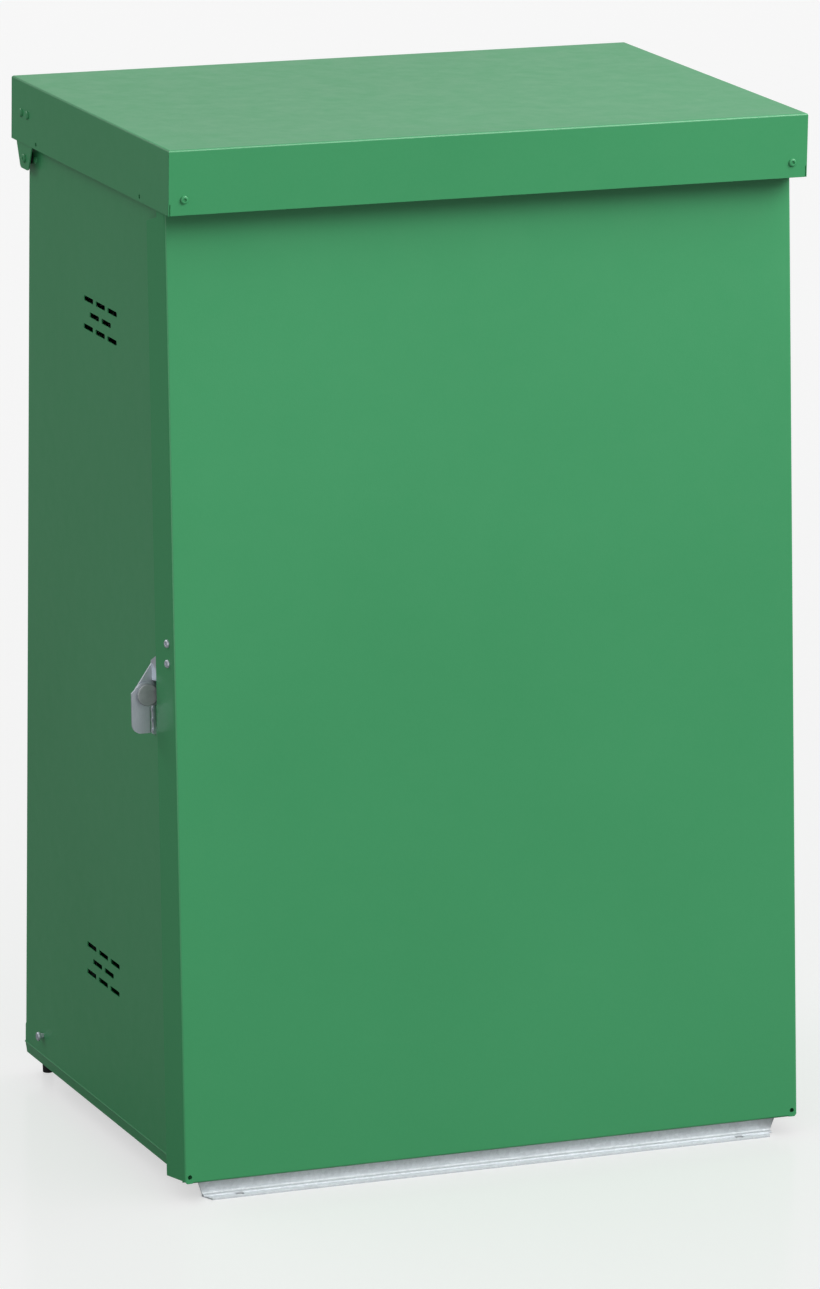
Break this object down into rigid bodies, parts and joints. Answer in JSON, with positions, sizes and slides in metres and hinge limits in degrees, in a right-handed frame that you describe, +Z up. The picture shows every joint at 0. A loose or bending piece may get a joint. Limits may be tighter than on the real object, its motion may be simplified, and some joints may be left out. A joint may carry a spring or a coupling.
{
  "type": "outdoor street cabinet",
  "caption": "Free-standing steel street cabinet with a hinged lid, an outward-sloping lift-off front door with a side latch, vent slots and a galvanised sill.",
  "frame": {"origin": "centre of the bounding box on the ground, with the latch on the left counted in", "axes": "+Z up, -Y to the sloping front, +X to the right seen from the front"},
  "size_m": [0.8084, 0.571, 1.2],
  "materials": {
    "green_powder_coat": "satin powder coat",
    "galvanised_steel": "hot-dip galvanised, faint spangle",
    "bright_zinc": "bright zinc plate",
    "cast_zinc": "dull, lightly grained casting",
    "brass_bar": "plain",
    "black_plastic": "moulded",
    "black_rubber": "matt"
  },
  "bodies": {
    "frame": {"back_panel": "green_powder_coat", "back_panel_rivets": "green_powder_coat", "cable_clamp_rail": "galvanised_steel", "door_hanger_brackets": "galvanised_steel", "door_hanger_pins": "bright_zinc", "door_seals": "black_rubber", "earth_bar": "brass_bar", "earth_bolts": "bright_zinc", "earth_standoffs": "black_plastic", "earth_support": "galvanised_steel", "front_sill": "galvanised_steel", "hinge_backing_plates": "galvanised_steel", "hinge_bushes": "black_plastic", "hinge_pins": "green_powder_coat", "hinge_plate_rivets": "green_powder_coat", "keeper_screws": "bright_zinc", "left_base_rail": "galvanised_steel", "left_keeper": "bright_zinc", "left_mounting_rail": "galvanised_steel", "left_side_panel": "green_powder_coat", "lid_seal": "black_rubber", "mounting_plate": "galvanised_steel", "mounting_plate_bolts": "bright_zinc", "rear_base_rail": "galvanised_steel", "rear_feet": "black_rubber", "right_base_rail": "galvanised_steel", "right_keeper": "bright_zinc", "right_mounting_rail": "galvanised_steel", "right_side_panel": "green_powder_coat", "side_panel_screws": "bright_zinc", "sill_bolts": "bright_zinc", "sill_brackets": "galvanised_steel", "top_front_rail": "galvanised_steel", "top_rear_rail": "galvanised_steel"},
    "lid": {"lid_shell": "green_powder_coat", "lid_stiffener": "green_powder_coat", "lid_hinge_plates": "green_powder_coat", "lid_plate_rivets": "green_powder_coat", "lid_corner_rivets": "green_powder_coat"},
    "door": {"door_panel": "green_powder_coat", "left_door_stiffener": "green_powder_coat", "right_door_stiffener": "green_powder_coat", "door_cross_stiffener": "green_powder_coat", "door_hooks": "bright_zinc", "latch_bracket": "bright_zinc", "steady_bracket": "bright_zinc", "bracket_rivets": "bright_zinc"},
    "latch": {"latch_lever": "bright_zinc", "latch_boss": "cast_zinc", "latch_cam": "bright_zinc", "latch_nut": "bright_zinc"}
  },
  "joints": [
    {"name": "lid_hinge", "type": "hinge", "parent": "frame", "child": "lid", "pos_m": [0.0131, 0.24546, 1.1094], "axis": [-1, 0, 0], "range_deg": [0, 95]},
    {"name": "door_hinge", "type": "hinge", "parent": "frame", "child": "door", "pos_m": [0.0131, -0.18449, 1.14024], "axis": [-1, 0, 0], "range_deg": [0, 45]},
    {"name": "latch_turn", "type": "hinge", "parent": "door", "child": "latch", "pos_m": [-0.3845, -0.19126, 0.57353], "axis": [0, 0.9967, -0.0807], "range_deg": [0, 90]}
  ]
}
